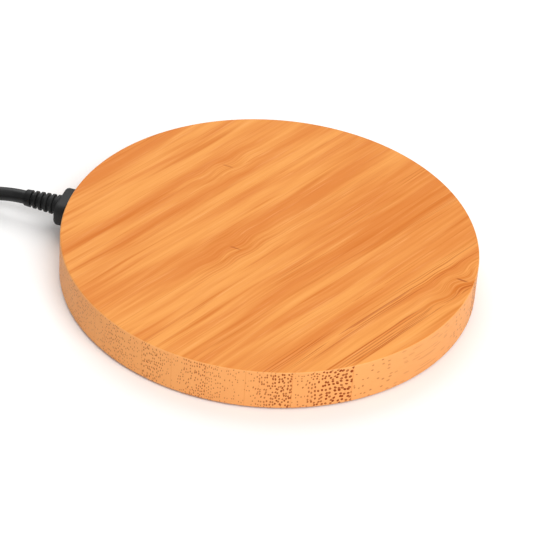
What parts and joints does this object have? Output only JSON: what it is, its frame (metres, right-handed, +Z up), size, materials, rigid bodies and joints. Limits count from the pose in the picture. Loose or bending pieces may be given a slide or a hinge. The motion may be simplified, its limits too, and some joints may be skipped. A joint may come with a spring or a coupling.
{
  "type": "wireless charging pad",
  "caption": "Round laminated bamboo wireless charging pad with a rim socket, internal winding and board, and a plug-in supply lead.",
  "frame": {"origin": "centre of the pad at the underside of its feet", "axes": "+Z up, out of the charging face; +Y from the centre out through the socket in the rim; X across the socket"},
  "size_m": [0.1188, 0.171, 0.011],
  "materials": {
    "bamboo": "oiled laminated bamboo, satin",
    "base_plastic": "fine spark-textured black plastic",
    "foot_rubber": "matt rubber",
    "screw_steel": "zinc plated",
    "board_green": "green solder mask with tracks",
    "copper_wire": "enamelled stranded copper",
    "ferrite_grey": "sintered ferrite under clear film",
    "tape_white": "double-sided tape",
    "foam_grey": "closed-cell foam",
    "sensor_lacquer": "lacquered bead",
    "shell_steel": "nickel plated, drawn",
    "black_nylon": "moulded nylon",
    "white_nylon": "moulded nylon",
    "gold_contact": "gold flash",
    "chip_black": "epoxy moulding compound",
    "inductor_grey": "pressed iron powder",
    "capacitor_ceramic": "ceramic body with tinned ends",
    "resistor_black": "black body with tinned ends",
    "solder_tin": "solder fillet",
    "led_resin": "white resin",
    "clear_guide": "clear moulded rod",
    "plug_black": "soft-touch overmould, fine texture",
    "cable_black": "satin black sheath",
    "strap_black": "hook-and-loop strap"
  },
  "bodies": {
    "pad": {"bamboo_shell": "bamboo", "base_plate": "base_plastic", "rubber_feet": "foot_rubber", "base_screws": "screw_steel", "circuit_board": "board_green", "board_screws": "screw_steel", "charging_coil": "copper_wire", "coil_leads": "copper_wire", "ferrite_shield": "ferrite_grey", "coil_tape": "tape_white", "foam_pads": "foam_grey", "temperature_sensor": "sensor_lacquer", "socket_shell": "shell_steel", "socket_tongue": "black_nylon", "socket_contacts": "gold_contact", "controller_chip": "chip_black", "power_transistors": "chip_black", "power_inductor": "inductor_grey", "resonance_capacitors": "capacitor_ceramic", "input_capacitors": "capacitor_ceramic", "chip_resistors": "resistor_black", "solder_joints": "solder_tin", "indicator_led": "led_resin", "light_guide": "clear_guide"},
    "lead": {"plug_shell": "shell_steel", "plug_insulator": "black_nylon", "plug_contacts": "gold_contact", "plug_body": "plug_black", "plug_strain_relief": "plug_black", "cable_run": "cable_black", "cable_coil": "cable_black", "cable_ties": "strap_black", "cable_tail": "cable_black", "supply_strain_relief": "plug_black", "supply_plug_body": "plug_black", "supply_plug_shell": "shell_steel", "supply_plug_tongue": "white_nylon", "supply_plug_contacts": "gold_contact"}
  },
  "joints": [
    {"name": "plug_slide", "type": "slide", "parent": "pad", "child": "lead", "axis": [0, 1, 0], "range_m": [0, 0.014]}
  ]
}
